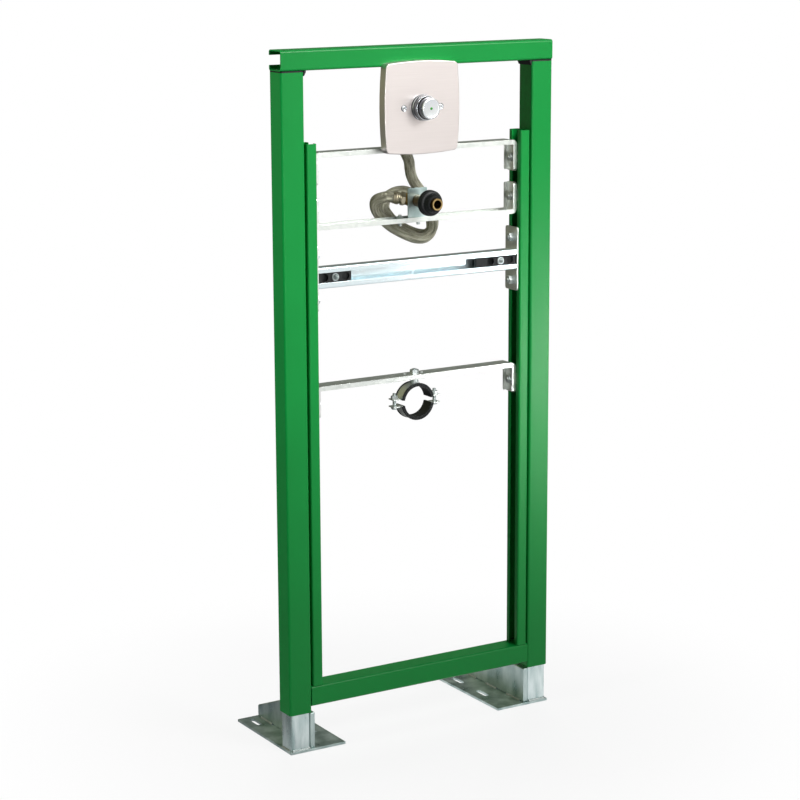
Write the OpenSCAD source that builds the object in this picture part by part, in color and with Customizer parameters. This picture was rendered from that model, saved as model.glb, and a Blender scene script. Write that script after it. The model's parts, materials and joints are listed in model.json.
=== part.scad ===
// In-wall installation frame for a urinal: steel frame, telescoping feet,
// crossbars, flush valve with its braided hose, fixing rail and waste clamp.
// Millimetres. X to the right, Y to the back from the frame's front plane, Z up from the floor.

/* [Frame] */
// Overall width of the frame
frame_w = 500; // [420:1:560]
// Height of the frame's top edge above the floor
frame_h = 1125; // [1120:1:1160]
// Width of a post, seen from the front
post_w = 40; // [36:1:46]
// Depth of the posts and rails
post_d = 38; // [36:1:44]
// Height of the top rail
top_rail_h = 32; // [28:1:40]
// Height of the bottom rail
bottom_rail_h = 33.5; // [28:0.5:40]
// Underside of the bottom rail above the floor
bottom_rail_z = 75; // [72:1:90]
// Lower end of the posts above the floor
post_z = 65.4; // [65:0.1:70]
// Wall of the square tubes and the channels
steel_t = 2; // [1.5:0.1:2.5]
// Outside radius of the tubes' long edges
edge_r = 4; // [3:0.5:5]

/* [Inner rails] */
// Width of an inner rail, seen from the front
rail_w = 18; // [16:1:22]
// Depth of an inner rail
rail_d = 35; // [32:1:36]
// Lip on each side of an inner rail's slot
rail_lip = 9.2; // [8:0.1:11]
// Top of the inner rails above the floor
rail_top = 981; // [975:1:1000]
// Shadow gap between a post and its inner rail
rail_gap = 3; // [2:0.5:5]

/* [Feet] */
// Width of a base plate
foot_w = 101; // [90:1:120]
// Length of a base plate, front to back
foot_l = 187; // [160:1:200]
// Thickness of a base plate
foot_t = 4; // [4:0.5:6]
// Height of a leg tube's top above the floor, at the lowest setting
leg_top = 305; // [260:1:360]
// Play between a leg and the inside of its post
leg_gap = 0.4; // [0.3:0.1:0.8]
// Thickness of the gusset beside a leg
gusset_t = 6.5; // [5:0.5:8]

/* [Crossbars] */
// Top face of the upper crossbar
upper_bar_z = 965.5; // [960:0.5:970]
// Underside of the lower crossbar
lower_bar_z = 845; // [840:1:850]
// Top face of the waste crossbar
waste_bar_z = 597; // [450:1:640]
// Length of a crossbar's bent end, measured from its web
bar_tab = 51; // [45:1:60]
// Depth of a crossbar
bar_d = 28; // [26:1:30]
// Height of a crossbar's flanges
bar_flange = 7.5; // [6:0.5:9]

/* [Fixing rail] */
// Centre of the fixing rail above the floor
fix_z = 770.5; // [740:0.5:790]
// Height of the fixing rail
fix_h = 34; // [32:1:38]
// Depth of the fixing rail
fix_d = 20; // [18:1:24]
// Lip above and below the fixing rail's slot
fix_lip = 9.2; // [8:0.1:10]
// Distance between the urinal's two fixing bushes
fix_spacing = 310; // [300:1:320]

/* [Flush valve] */
// Sideways place of the valve on the frame
valve_x = -8; // [-20:1:20]
// Height of the push button above the floor
valve_z = 1029; // [1020:1:1035]
// Width of the cover plate
cover_w = 138; // [130:1:150]
// Height of the cover plate
cover_h = 146; // [140:1:150]
// Depth of the cover plate's rim
cover_d = 16; // [12:1:20]
// Travel of the push button
button_travel = 7; // [5:0.5:8]

/* [Waste clamp] */
// Height of the clamp's centre above the floor
clamp_z = 552; // [551:1:553]
// Radius of the waste pipe that the clamp holds
pipe_r = 25; // [24:0.5:25]

/* [Urinal inlet] */
// Height of the flush connection above the floor
inlet_z = 879; // [877:1:881]

/* [Hidden] */
$fn = 48;

half_w = frame_w / 2;
post_in = half_w - post_w;
cap_t = 2;
post_top = frame_h - top_rail_h - cap_t;
bottom_rail_top = bottom_rail_z + bottom_rail_h;
leg_screw_z = bottom_rail_z + bottom_rail_h / 2;
rail_out = post_in - rail_gap;
rail_in = rail_out - rail_w;
slot_y = rail_d / 2;
top_lip = 8.5;

leg_w = post_w - 2 * steel_t - 2 * leg_gap;
leg_d = post_d - 2 * steel_t - 2 * leg_gap;
leg_x0 = steel_t + leg_gap;
foot_y0 = -1;
floor_slot_w = 9;
floor_slot_l = 32;

bar_y = 10;
bar_t = 2;
bar_r = 9;
bolt_drop = 28.5;
bolt_y = 20;
bolt_r = 4;
bolt_hole_r = 4.5;
hex_r = 7.5;
nut_h = 6.5;
washer_r = 7.8;
washer_t = 1.6;

plate_t = 3;
plate_y = 4;
plate_d = 35;
plate_h = 105;
plate_bolt = 35.5;
fix_y = 5;
insert_t = 4;
bush_r = 6;
bush_hole_r = 4.25;

bracket_t = 2.5;
bracket_y = bar_y + bar_d;
body_y = 50;
body_r = 21;
neck_r = 15;
cover_front = -cover_d;
sheet_t = 1.5;
screw_span = 33.8;
ring_front = cover_front - 14;
cap_front = cover_front - 27;
cap_r = 16.8;
stem_r = 6;
hose_r = 8.75;

inlet_plate_y = bar_y + bar_t;
elbow_y = 26;
elbow_turn = 20;
elbow_tilt = 8;
arm_l = 14;
sleeve_l = 19.5;
nozzle_r = 9.5;
nozzle_front = -48;
// The origin is on the floor, in the middle of the frame's width and depth
front_y = -(foot_y0 + foot_l + nozzle_front) / 2;

clamp_y = bar_y + bar_d / 2;
clamp_d = 24;
lining_t = 2.5;
band_t = 2;
band_w = 18.6;
ear_x = 44;
ear_z = 5;
ear_screw_x = 38;

green = "#1E8A45";
zinc = "#C9CFCB";
steel = "#9BA3A8";
rubber = "#1A1C1D";
brass = "#C8963C";
chrome = "#D5DADD";
brushed = "#DCD6D0";
braid = "#A9A693";

// A rectangle with round corners, its lower left corner at the origin
module round_rect(w, h, r) {
    translate([r, 0]) square([w - 2 * r, h]);
    translate([0, r]) square([w, h - 2 * r]);
    for (x = [r, w - r], y = [r, h - r]) translate([x, y]) circle(r);
}

// Section of a square tube
module tube_section(w, h, r = edge_r, t = steel_t) {
    difference() {
        round_rect(w, h, r);
        translate([t, t]) round_rect(w - 2 * t, h - 2 * t, r - t);
    }
}

// Section of a lipped channel, its slot on the side away from the origin
module channel_section(w, h, lip, r = edge_r, t = steel_t) {
    difference() {
        tube_section(w, h, r, t);
        translate([w - 2 * t, lip]) square([3 * t, h - 2 * lip]);
    }
}

// Runs a section drawn as (Y, Z) along X
module along_x(x0, x1) {
    translate([x0, 0, 0]) rotate([90, 0, 90]) linear_extrude(x1 - x0) children();
}

// Runs a section drawn as (X, -Z) along Y
module along_y(y0, y1) {
    translate([0, y0, 0]) rotate([-90, 0, 0]) linear_extrude(y1 - y0) children();
}

// A round bar along Y
module rod_y(r, y0, y1) {
    translate([0, y0, 0]) rotate([-90, 0, 0]) cylinder(r = r, h = y1 - y0);
}

// A round bar along X
module rod_x(r, x0, x1) {
    translate([x0, 0, 0]) rotate([0, 90, 0]) cylinder(r = r, h = x1 - x0);
}

module on_right() {
    mirror([1, 0, 0]) children();
}

// Moves what is drawn from the frame's front plane to the origin
module placed() {
    translate([0, front_y, 0]) children();
}

// Frame

module left_post() {
    color(green) placed() difference() {
        translate([-half_w, 0, post_z])
            linear_extrude(post_top - post_z) tube_section(post_w, post_d);
        translate([-half_w + post_w / 2, 0, leg_screw_z])
            rod_y(bolt_r + 0.2, post_d - 3, post_d + 1);
    }
}

module right_post() {
    on_right() left_post();
}

module top_rail() {
    color(green) placed() along_x(-half_w, half_w)
        translate([0, frame_h - top_rail_h]) channel_section(post_d, top_rail_h, top_lip);
}

module bottom_rail() {
    color(green) placed() along_x(-post_in, post_in)
        translate([0, bottom_rail_z]) tube_section(post_d, bottom_rail_h);
}

// Plastic cap between a post and the top rail, with a spigot in the tube
module left_post_cap() {
    spigot = 12;
    play = 0.2;
    color(rubber) placed() {
        translate([-half_w, 0, post_top]) linear_extrude(cap_t) round_rect(post_w, post_d, edge_r);
        translate([-half_w + steel_t + play, steel_t + play, post_top - spigot])
            linear_extrude(spigot)
                tube_section(post_w - 2 * (steel_t + play), post_d - 2 * (steel_t + play));
        along_y(1, post_d - 1) polygon([[-post_in, -post_top - cap_t], [-post_in, 6 - post_top],
            [-post_in + 0.8, 6 - post_top], [-post_in + 4, -post_top], [-post_in + 4, -post_top - cap_t]]);
    }
}

module right_post_cap() {
    on_right() left_post_cap();
}

// Slotted rail beside a post, with a rolled bead that stands it off the post
module left_inner_rail() {
    bead = rail_lip + 2;
    color(green) placed() translate([0, 0, bottom_rail_top]) linear_extrude(rail_top - bottom_rail_top)
        difference() {
            union() {
                translate([-rail_out, 0]) round_rect(rail_w, rail_d, 3);
                translate([-post_in, bead]) square([rail_gap + steel_t, rail_d - 2 * bead]);
            }
            translate([-rail_out + steel_t, steel_t])
                round_rect(rail_w - 2 * steel_t, rail_d - 2 * steel_t, 1);
            translate([-post_in + steel_t, bead + steel_t])
                square([2 * steel_t + rail_gap, rail_d - 2 * bead - 2 * steel_t]);
            translate([-rail_in - 2 * steel_t, rail_lip])
                square([3 * steel_t, rail_d - 2 * rail_lip]);
        }
}

module right_inner_rail() {
    on_right() left_inner_rail();
}

// Screws at the back of the posts that hold the legs
module leg_clamp_screws() {
    tip = post_d - steel_t - leg_gap + 0.1;
    color(steel) placed() for (s = [-1, 1]) translate([s * (half_w - post_w / 2), 0, leg_screw_z]) {
        rod_y(bolt_r, tip, post_d + nut_h);
        translate([0, post_d, 0]) rotate([-90, 30, 0]) cylinder(r = hex_r, h = nut_h, $fn = 6);
    }
}

// Feet

module left_foot_plate() {
    slots = [[80, 80], [80, 158], [19.5, 160]];
    color(steel) placed() translate([-half_w, foot_y0, 0]) difference() {
        cube([foot_w, foot_l, foot_t]);
        for (p = slots) translate([p[0], p[1], -1]) {
            for (s = [-1, 1]) translate([0, s * (floor_slot_l - floor_slot_w) / 2, 0])
                cylinder(d = floor_slot_w, h = foot_t + 2);
            translate([-floor_slot_w / 2, -(floor_slot_l - floor_slot_w) / 2, 0])
                cube([floor_slot_w, floor_slot_l - floor_slot_w, foot_t + 2]);
        }
    }
}

module left_foot_leg() {
    color(steel) placed() translate([-half_w + leg_x0, leg_x0, foot_t])
        linear_extrude(leg_top - foot_t) tube_section(leg_w, leg_d, 4);
}

// Sloping plate that ties the leg to the back of the base plate
module left_foot_gusset() {
    front = leg_x0;
    back = foot_y0 + foot_l - 1;
    top = post_z - 1.4;
    low = 19;
    level = 84;
    color(steel) placed() along_x(-half_w + leg_x0 + leg_w, -half_w + leg_x0 + leg_w + gusset_t)
        difference() {
            translate([front, foot_t]) square([back - front, top - foot_t]);
            polygon([[level, top], [back, foot_t + low], [back + 1, foot_t + low], [back + 1, top + 1],
                [level, top + 1]]);
        }
}

module right_foot_plate() {
    on_right() left_foot_plate();
}

module right_foot_leg() {
    on_right() left_foot_leg();
}

module right_foot_gusset() {
    on_right() left_foot_gusset();
}

// Crossbars

// Section of a crossbar as (Y, Z), its web on top
module bar_section() {
    difference() {
        translate([0, -bar_flange]) square([bar_d, bar_flange]);
        translate([bar_t, -bar_flange - 1]) square([bar_d - 2 * bar_t, bar_flange - bar_t + 1]);
    }
}

// A pressed channel with both ends bent down, its top face at z = 0
module crossbar() {
    end = rail_in - bar_r;
    difference() {
        translate([0, bar_y, 0]) {
            along_x(-end, end) bar_section();
            for (s = [0, 1]) mirror([s, 0, 0]) {
                translate([end, 0, -bar_r]) rotate([90, 0, 0]) rotate_extrude(angle = 90)
                    translate([bar_r, 0]) rotate(-90) bar_section();
                intersection() {
                    translate([rail_in, 0, -bar_tab]) linear_extrude(bar_tab - bar_r)
                        mirror([1, -1]) bar_section();
                    along_x(rail_in - 20, rail_in + 1) translate([0, -bar_tab])
                        round_rect(bar_d, 2 * bar_tab, 5);
                }
            }
        }
        for (s = [0, 1]) mirror([s, 0, 0]) translate([0, bolt_y, -bolt_drop])
            rod_x(bolt_hole_r, rail_in - 5, rail_in + 1);
    }
}

module upper_crossbar() {
    color(zinc) placed() difference() {
        translate([0, 0, upper_bar_z]) crossbar();
        for (s = [-1, 1]) translate([valve_x + 26 * s, clamp_y, upper_bar_z - 5])
            cylinder(r = bolt_hole_r, h = 10);
    }
}

module lower_crossbar() {
    color(zinc) placed() difference() {
        translate([0, 0, lower_bar_z]) mirror([0, 0, 1]) crossbar();
        for (x = [-26, 8]) translate([x, clamp_y, lower_bar_z - 5]) cylinder(r = 3.3, h = 10);
    }
}

module waste_crossbar() {
    color(zinc) placed() difference() {
        translate([0, 0, waste_bar_z]) crossbar();
        for (x = [-16.4, 0, 16.4]) translate([x, clamp_y, waste_bar_z - 5])
            cylinder(r = bolt_hole_r, h = 10);
    }
}

// A hexagon bolt whose head bears on the face x = 0 from the +X side,
// with a slide nut behind the lips of the inner rail at x = -grip
module rail_bolt(grip) {
    rod_x(bolt_r, -grip - 7, 1);
    rod_x(washer_r, 0, washer_t);
    translate([washer_t, 0, 0]) rotate([0, 90, 0]) cylinder(r = hex_r, h = nut_h, $fn = 6);
    rod_x(bolt_r, washer_t + nut_h - 1, washer_t + nut_h + 2);
    translate([-grip - 5, -11, -9]) cube([5, 22, 18]);
}

module crossbar_bolts() {
    face = rail_in - bar_t;
    color(zinc) placed() for (s = [0, 1]) mirror([s, 0, 0]) {
        for (z = [upper_bar_z - bolt_drop, lower_bar_z + bolt_drop, waste_bar_z - bolt_drop])
            translate([-face, bolt_y, z]) rail_bolt(bar_t + steel_t);
        for (z = [fix_z - plate_bolt, fix_z + plate_bolt])
            translate([-rail_in + plate_t, bolt_y, z]) rail_bolt(plate_t + steel_t);
    }
}

// Fixing rail for the urinal

module fixing_rail() {
    end = rail_in - plate_t;
    color(zinc) placed() along_x(-end, end) translate([fix_y + fix_d, fix_z - fix_h / 2]) mirror([1, 0])
        channel_section(fix_d, fix_h, fix_lip, 3);
}

module left_end_plate() {
    color(zinc) placed() difference() {
        along_x(-rail_in, -rail_in + plate_t)
            translate([plate_y, fix_z - plate_h / 2]) round_rect(plate_d, plate_h, 4);
        for (s = [-1, 1]) translate([0, bolt_y, fix_z + s * plate_bolt])
            rod_x(bolt_hole_r, -rail_in - 1, -rail_in + plate_t + 1);
    }
}

module right_end_plate() {
    on_right() left_end_plate();
}

// Plastic slide behind the lips of the fixing rail, with a hole at each side of the bush
module slide_insert(x0, x1) {
    pitch = 19;
    color(rubber) placed() difference() {
        translate([x0, fix_y + steel_t, fix_z - fix_h / 2 + steel_t + 1])
            cube([x1 - x0, insert_t, fix_h - 2 * steel_t - 2]);
        for (i = [-1, 0, 1]) translate([sign(x0) * fix_spacing / 2 + i * pitch, 0, fix_z])
            rod_y(i == 0 ? bush_r + 0.1 : 6.5, 0, 20);
    }
}

module left_slide_insert() {
    slide_insert(-184, -126);
}

module right_slide_insert() {
    slide_insert(108, 184);
}

module fixing_bush(x) {
    color(zinc) placed() translate([x, 0, fix_z]) difference() {
        rod_y(bush_r, fix_y + steel_t - 2, fix_y + fix_d - steel_t);
        rod_y(bush_hole_r, 0, fix_y + fix_d - steel_t + 1);
    }
}

module left_fixing_bush() {
    fixing_bush(-fix_spacing / 2);
}

module right_fixing_bush() {
    fixing_bush(fix_spacing / 2);
}

// Flush valve

module valve_bracket() {
    w = 84;
    h = 108;
    foot_y = bar_y + 2;
    color(zinc) placed() translate([valve_x, 0, upper_bar_z]) difference() {
        union() {
            along_y(bracket_y - bracket_t, bracket_y) translate([-w / 2, -h]) difference() {
                round_rect(w, h + 10, 8);
                translate([-1, h]) square([w + 2, 20]);
            }
            translate([-w / 2, foot_y, 0]) cube([w, bracket_y - foot_y, bracket_t]);
            for (s = [-1, 1]) translate([s * screw_span, 0, valve_z - upper_bar_z])
                rod_y(4.5, cover_front + sheet_t, bracket_y - bracket_t);
        }
        translate([0, 0, valve_z - upper_bar_z]) rod_y(neck_r + 0.3, 0, 60);
        for (s = [-1, 1], z = [22, 88]) translate([s * 29, 0, z]) rod_y(4, 30, 60);
        for (s = [-1, 1]) {
            translate([s * screw_span, 0, valve_z - upper_bar_z]) rod_y(2, cover_front, 0);
            translate([s * 26, clamp_y, -1]) cylinder(r = bolt_hole_r, h = 6);
        }
    }
}

module valve_body() {
    color(brass) placed() translate([valve_x, 0, valve_z]) difference() {
        union() {
            rod_y(neck_r, cover_front - 3, bracket_y + 1);
            rod_y(24, bracket_y, bracket_y + 5);
            rod_y(body_r, bracket_y + 5, bracket_y + 34);
            rod_y(15, bracket_y + 34, bracket_y + 40);
            translate([0, body_y + 2, 0]) cylinder(r = 10.4, h = 54);
            translate([0, body_y + 2, 0]) cylinder(r = 14, h = 34);
            translate([0, body_y, -34]) cylinder(r = 10, h = 34);
            translate([0, body_y, -27]) cylinder(r = 11.8, h = 27);
        }
        rod_y(stem_r + 0.08, cover_front - 4, 20);
        translate([0, body_y + 2, 24]) cylinder(r = 7.5, h = 40);
    }
}

module bracket_bolts() {
    color(zinc) placed() {
        for (s = [-1, 1]) translate([valve_x + 26 * s, clamp_y, upper_bar_z]) {
            translate([0, 0, -9]) cylinder(r = bolt_r, h = 10);
            translate([0, 0, -bar_t - nut_h]) cylinder(r = hex_r, h = nut_h, $fn = 6);
            translate([0, 0, bracket_t]) cylinder(r = hex_r, h = nut_h, $fn = 6);
            translate([0, 0, 0]) cylinder(r = bolt_r, h = bracket_t + 1);
        }
        for (x = [-26, 8]) translate([x, clamp_y, lower_bar_z]) {
            translate([0, 0, -6]) cylinder(r = 3, h = 18);
            translate([0, 0, bar_t + bracket_t]) cylinder(r = 5.8, h = 5, $fn = 6);
        }
    }
}

// Points of an outline with bulging sides and round corners
function arc_points(c, r, a0, a1, n) = [for (i = [0:n]) c + r * [cos(a0 + (a1 - a0) * i / n),
    sin(a0 + (a1 - a0) * i / n)]];

function cover_outline(w, h, r, bulge) =
    let (x = w / 2 - bulge - r, y = h / 2 - bulge - r, n = 6)
    concat(
        [for (i = [0:n]) [w / 2 - bulge * pow(2 * i / n - 1, 2), y * (2 * i / n - 1)]],
        arc_points([x, y], r, 0, 90, 6),
        [for (i = [1:n - 1]) [x * (1 - 2 * i / n), h / 2 - bulge * pow(2 * i / n - 1, 2)]],
        arc_points([-x, y], r, 90, 180, 6),
        [for (i = [1:n - 1]) [-w / 2 + bulge * pow(2 * i / n - 1, 2), y * (1 - 2 * i / n)]],
        arc_points([-x, -y], r, 180, 270, 6),
        [for (i = [1:n - 1]) [x * (2 * i / n - 1), -h / 2 + bulge * pow(2 * i / n - 1, 2)]],
        arc_points([x, -y], r, 270, 350, 6));

module cover_plate() {
    color(brushed) placed() translate([valve_x, 0, valve_z]) difference() {
        along_y(cover_front, 0) polygon(cover_outline(cover_w, cover_h, 8, 3));
        along_y(cover_front + sheet_t, 1)
            polygon(cover_outline(cover_w - 2 * sheet_t, cover_h - 2 * sheet_t, 7, 3));
        rod_y(neck_r + 0.3, cover_front - 1, 0);
        for (s = [-1, 1]) translate([s * screw_span, 0, 0]) rod_y(2.2, cover_front - 1, 0);
    }
}

module cover_screws() {
    color(chrome) placed() for (s = [-1, 1]) translate([valve_x + s * screw_span, 0, valve_z]) {
        rod_y(4.5, cover_front - 1.2, cover_front);
        rod_y(1.9, cover_front - 1, cover_front + 14);
    }
}

module button_ring() {
    color(chrome) placed() translate([valve_x, 0, valve_z]) difference() {
        union() {
            rod_y(20.8, cover_front - 4, cover_front);
            rod_y(19.4, ring_front, cover_front - 4);
        }
        rod_y(cap_r + 0.4, ring_front - 1, cover_front - 3);
        rod_y(neck_r + 0.2, cover_front - 3.5, cover_front + 1);
    }
}

module push_button() {
    color(chrome) placed() translate([valve_x, 0, valve_z]) {
        rod_y(cap_r - 1, cap_front, cap_front + 2);
        rod_y(cap_r, cap_front + 1, ring_front + 2);
        rod_y(stem_r, ring_front + 1, 8);
    }
}

// Braided hose

module hose_top_nut() {
    color(steel) placed() translate([valve_x, body_y, valve_z]) difference() {
        union() {
            translate([0, 0, -48]) cylinder(r = 13.5, h = 15, $fn = 6);
            translate([0, 0, -51]) cylinder(r = 10, h = 4);
        }
        translate([0, 0, -45]) cylinder(r = 10.1, h = 20);
    }
}

hose_route = [
    [-8, 50, 978], [-8, 50, 967], [2, 51, 950], [10, 55, 938], [16, 62, 925], [22, 68, 913],
    [30, 72, 901], [40, 75, 890], [50, 76, 878], [58, 77, 866], [65, 76, 852], [67, 73, 837],
    [63, 70, 823], [51, 68, 815], [36, 69, 816], [22, 71, 821], [9, 75, 828], [-3, 78, 837],
    [-13, 81, 848], [-20, 83, 861], [-18, 80, 876], [-8, 75, 885], [6, 69, 888], [19, 64, 884],
    [31, 60, 875], [41, 57, 864], [48, 55, 851], [50, 51, 836], [47, 48, 822], [35, 47, 813],
    [20, 49, 813], [6, 52, 818], [-7, 57, 825], [-19, 62, 833], [-30, 66, 843], [-40, 67, 854],
    [-48, 64, 867], [-50, 56, 879], [-40.5, 40.7, 885.1], [-31.2, 37.3, 883.7]];

// A tube along a list of points, its rings square to the run
function unit(v) = v / norm(v);
function run_at(p, i) = unit(p[min(i + 1, len(p) - 1)] - p[max(i - 1, 0)]);
function ring_at(c, d, r, n) =
    let (u = unit(cross(d, [0.1, 1, 0.05])), v = cross(d, u))
    [for (k = [0:n - 1]) c + r * (cos(360 * k / n) * u + sin(360 * k / n) * v)];

module hose_tube(p, r, n = 10) {
    rings = len(p);
    points = [for (i = [0:rings - 1]) each ring_at(p[i], run_at(p, i), r, n)];
    sides = [for (i = [0:rings - 2], k = [0:n - 1])
        [i * n + k, i * n + (k + 1) % n, (i + 1) * n + (k + 1) % n, (i + 1) * n + k]];
    polyhedron(points, concat([[for (k = [n - 1:-1:0]) k]], sides,
        [[for (k = [0:n - 1]) (rings - 1) * n + k]]));
}

module braided_hose() {
    color(braid) placed() hose_tube(hose_route, hose_r);
}

// Places a sleeve or nut drawn along Z on the elbow's side arm, pointing at the hose
module on_elbow_arm() {
    translate([0, elbow_y, inlet_z]) rotate([0, 0, -elbow_turn]) rotate([0, elbow_tilt - 90, 0])
        children();
}

// Union nut with the crimped sleeve that holds the hose
module hose_end_nut() {
    color(steel) placed() on_elbow_arm() {
        translate([0, 0, arm_l]) cylinder(r = 11.5, h = 7, $fn = 6);
        rotate_extrude() polygon([[0, arm_l + 7], [8.8, arm_l + 7], [9.2, arm_l + 9.5],
            [10.4, arm_l + 11], [10.4, arm_l + 15], [9.6, arm_l + 16.5], [9.6, arm_l + sleeve_l],
            [0, arm_l + sleeve_l]]);
    }
}

// Urinal inlet

module inlet_bracket() {
    color(zinc) placed() difference() {
        union() {
            along_y(inlet_plate_y, inlet_plate_y + bracket_t)
                translate([-17.5, -lower_bar_z - bar_t - 52.5]) round_rect(35, 52.5, 1);
            translate([-34, inlet_plate_y, lower_bar_z + bar_t]) cube([51.5, 22, bracket_t]);
        }
        translate([0, 0, inlet_z]) rod_y(nozzle_r + 0.3, 0, 30);
        for (x = [-26, 8]) translate([x, clamp_y, lower_bar_z]) cylinder(r = 3.3, h = 10);
    }
}

module inlet_elbow() {
    color(brass) placed() translate([0, 0, inlet_z]) difference() {
        union() {
            rod_y(nozzle_r, nozzle_front, elbow_y);
            rod_y(12.5, -20, 2);
            translate([0, 2, 0]) rotate([-90, 0, 0]) cylinder(r = 15.6, h = 10, $fn = 6);
            rod_y(11.8, inlet_plate_y + bracket_t, elbow_y + 9.5);
            rod_y(8.5, elbow_y + 9.5, elbow_y + 11.5);
            translate([0, 0, -inlet_z]) on_elbow_arm() cylinder(r = 9.8, h = arm_l);
        }
        rod_y(6, nozzle_front - 1, elbow_y);
    }
}

module rubber_collar() {
    color(rubber) placed() translate([0, 0, inlet_z]) difference() {
        rotate([90, 0, 0]) rotate_extrude() polygon([[0, 20], [19.5, 20], [20.7, 21], [20.7, 25],
            [19.4, 26], [19.4, 27.2], [20.2, 28], [20.2, 29.5], [19, 31], [16.4, 31.6],
            [15.4, 33], [14, 40], [12.8, 42], [0, 42]]);
        rod_y(nozzle_r + 0.1, -43, -19);
    }
}

// Waste clamp

// Half a ring about the Y axis, from radius r0 to r1, w deep, open by the clamp's gap
module half_ring(r0, r1, w) {
    open = asin(4 / pipe_r);
    rotate([90, 0, 0]) rotate([0, 0, open]) rotate_extrude(angle = 180 - 2 * open)
        translate([r0, -w / 2]) square([r1 - r0, w]);
}

module lining_half() {
    lip = (clamp_d - band_w) / 2 - 0.2;
    half_ring(pipe_r, pipe_r + lining_t, clamp_d);
    for (s = [-1, 1]) translate([0, s * (clamp_d - lip) / 2, 0])
        half_ring(pipe_r + lining_t - 0.5, pipe_r + lining_t + band_t + 1, lip);
}

module band_half() {
    r = pipe_r + lining_t;
    ear_w = 16;
    difference() {
        union() {
            half_ring(r, r + band_t, band_w);
            for (s = [-1, 1]) translate([s > 0 ? r + 0.5 : -ear_x, -ear_w / 2, ear_z])
                cube([ear_x - r - 0.5, ear_w, band_t]);
        }
        for (s = [-1, 1]) translate([s * ear_screw_x, 0, 0]) cylinder(r = 3.3, h = 20);
    }
}

module at_clamp() {
    translate([0, clamp_y, clamp_z]) children();
}

module clamp_upper_band() {
    color(zinc) placed() at_clamp() band_half();
}

module clamp_lower_band() {
    color(zinc) placed() at_clamp() mirror([0, 0, 1]) band_half();
}

module clamp_upper_lining() {
    color(rubber) placed() at_clamp() lining_half();
}

module clamp_lower_lining() {
    color(rubber) placed() at_clamp() mirror([0, 0, 1]) lining_half();
}

module clamp_screws() {
    color(zinc) placed() at_clamp() for (s = [-1, 1]) translate([s * ear_screw_x, 0, 0]) {
        translate([0, 0, -11]) cylinder(r = 5.5, h = 11 - ear_z - band_t);
        translate([0, 0, -8]) cylinder(r = 3, h = 24);
        translate([0, 0, ear_z + band_t]) cylinder(r = 5.8, h = 5, $fn = 6);
    }
}

module clamp_stud() {
    top = waste_bar_z - clamp_z;
    color(zinc) placed() at_clamp() {
        difference() {
            translate([0, 0, pipe_r + lining_t]) cylinder(r = 7, h = 9);
            rod_y(pipe_r + lining_t + band_t, -10, 10);
        }
        translate([0, 0, 32]) cylinder(r = bolt_r, h = top + 11 - 32);
        translate([0, 0, top - bar_t - nut_h]) cylinder(r = hex_r, h = nut_h, $fn = 6);
        translate([0, 0, top]) cylinder(r = hex_r, h = nut_h, $fn = 6);
    }
}

left_post();
right_post();
top_rail();
bottom_rail();
left_post_cap();
right_post_cap();
left_inner_rail();
right_inner_rail();
leg_clamp_screws();
left_foot_plate();
left_foot_leg();
left_foot_gusset();
right_foot_plate();
right_foot_leg();
right_foot_gusset();
upper_crossbar();
lower_crossbar();
waste_crossbar();
crossbar_bolts();
fixing_rail();
left_end_plate();
right_end_plate();
left_slide_insert();
right_slide_insert();
left_fixing_bush();
right_fixing_bush();
valve_bracket();
valve_body();
bracket_bolts();
cover_plate();
cover_screws();
button_ring();
push_button();
hose_top_nut();
braided_hose();
hose_end_nut();
inlet_bracket();
inlet_elbow();
rubber_collar();
clamp_upper_band();
clamp_lower_band();
clamp_upper_lining();
clamp_lower_lining();
clamp_screws();
clamp_stud();
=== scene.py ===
# Looks of the urinal installation frame: camera, light, materials and the small
# pieces that the solids leave plain. Lengths in the tables are millimetres.
import bpy
import bmesh
import json
import math
from mathutils import Matrix, Vector

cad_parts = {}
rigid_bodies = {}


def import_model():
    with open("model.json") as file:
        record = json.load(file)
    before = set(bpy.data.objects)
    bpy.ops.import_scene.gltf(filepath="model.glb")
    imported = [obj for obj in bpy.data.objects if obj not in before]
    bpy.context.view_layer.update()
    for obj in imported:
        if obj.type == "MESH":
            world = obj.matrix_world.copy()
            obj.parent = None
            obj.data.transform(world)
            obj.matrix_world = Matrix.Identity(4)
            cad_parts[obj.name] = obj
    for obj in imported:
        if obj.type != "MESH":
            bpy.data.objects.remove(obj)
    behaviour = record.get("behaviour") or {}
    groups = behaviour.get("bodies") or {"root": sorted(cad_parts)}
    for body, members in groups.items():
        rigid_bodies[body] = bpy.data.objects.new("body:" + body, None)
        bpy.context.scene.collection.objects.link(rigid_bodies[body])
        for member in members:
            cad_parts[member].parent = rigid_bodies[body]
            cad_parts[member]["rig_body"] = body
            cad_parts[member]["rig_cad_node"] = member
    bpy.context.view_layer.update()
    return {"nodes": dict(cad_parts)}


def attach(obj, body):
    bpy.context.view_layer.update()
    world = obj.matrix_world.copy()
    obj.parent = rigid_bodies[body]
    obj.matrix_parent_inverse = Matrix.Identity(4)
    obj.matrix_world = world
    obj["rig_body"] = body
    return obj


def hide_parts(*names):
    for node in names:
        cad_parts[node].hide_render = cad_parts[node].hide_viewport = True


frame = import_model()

MM = 0.001
FRONT = -69.0   # the posts' front faces lie here along Y


def spot(x, y, z):
    """A point given from the frame's front plane, in metres."""
    return Vector((x, y + FRONT, z)) * MM


# Camera

eye = bpy.data.objects.new("camera", bpy.data.cameras.new("camera"))
bpy.context.scene.collection.objects.link(eye)
eye.data.lens = 104.28
eye.data.sensor_width = 36
eye.matrix_world = (Matrix.Translation((-1.9249, -3.1796, 1.3473))
                    @ Matrix.Rotation(-0.54437, 4, "Z")
                    @ Matrix.Rotation(math.pi / 2 - 0.21278, 4, "X")
                    @ Matrix.Rotation(-0.00437, 4, "Z"))
bpy.context.scene.camera = eye


# Materials

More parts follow.
